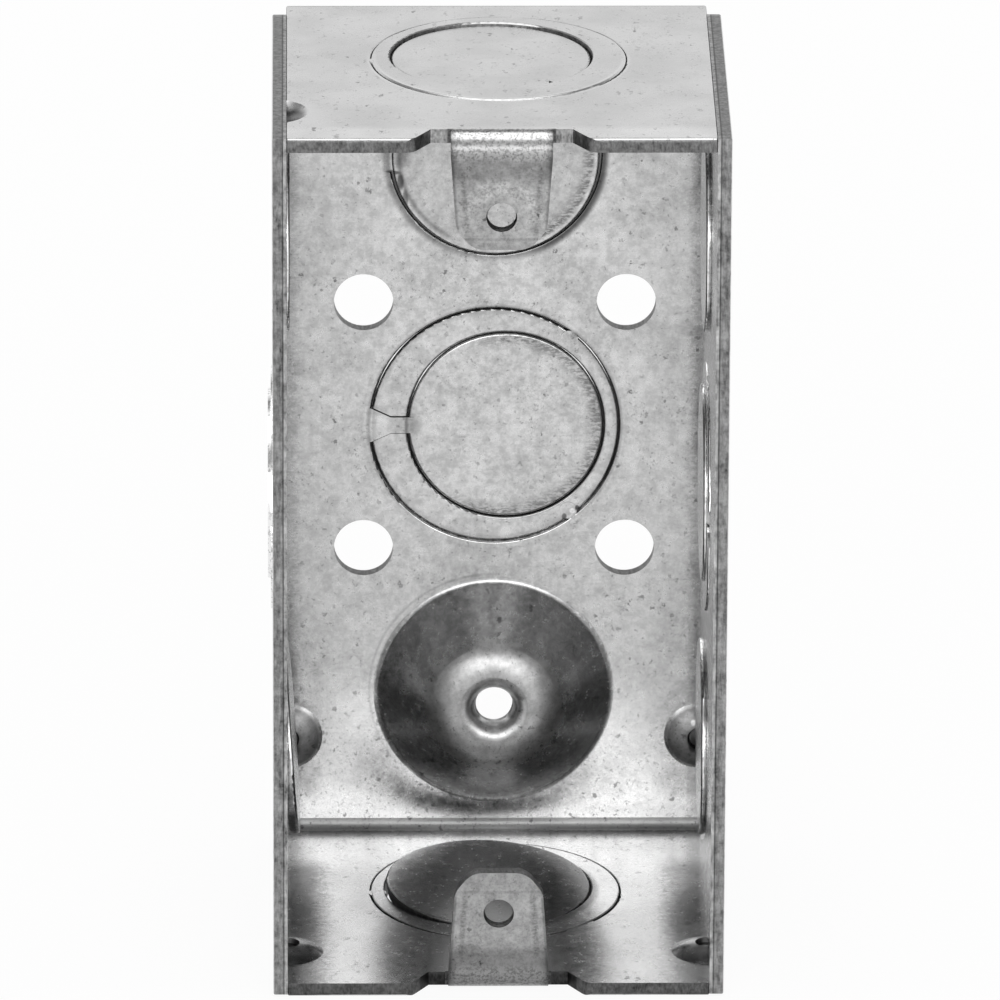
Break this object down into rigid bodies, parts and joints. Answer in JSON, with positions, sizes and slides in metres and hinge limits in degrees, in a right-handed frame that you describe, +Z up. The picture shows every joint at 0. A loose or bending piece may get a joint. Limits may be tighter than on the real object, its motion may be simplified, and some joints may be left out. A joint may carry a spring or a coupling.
{
  "type": "handy box",
  "caption": "Open-front pressed steel wiring box with tied knockouts, bent cover ears, a raised grounding dome and wall screw holes.",
  "frame": {"origin": "middle of the bottom end wall's outer face, halfway between the open front and the back panel", "axes": "+Z up the length of the box, +X to the right, +Y from the open front to the back panel"},
  "size_m": [0.0509, 0.0477, 0.1017],
  "materials": {
    "strip_steel": "hot-dip galvanised sheet, mottled and finely pitted, with rough sheared edges",
    "plate_steel": "hot-dip galvanised sheet, mottled, with streaked sheared edges"
  },
  "bodies": {
    "root": {"folded_strip": "strip_steel", "left_side_plate": "plate_steel", "right_side_plate": "plate_steel"}
  },
  "joints": []
}
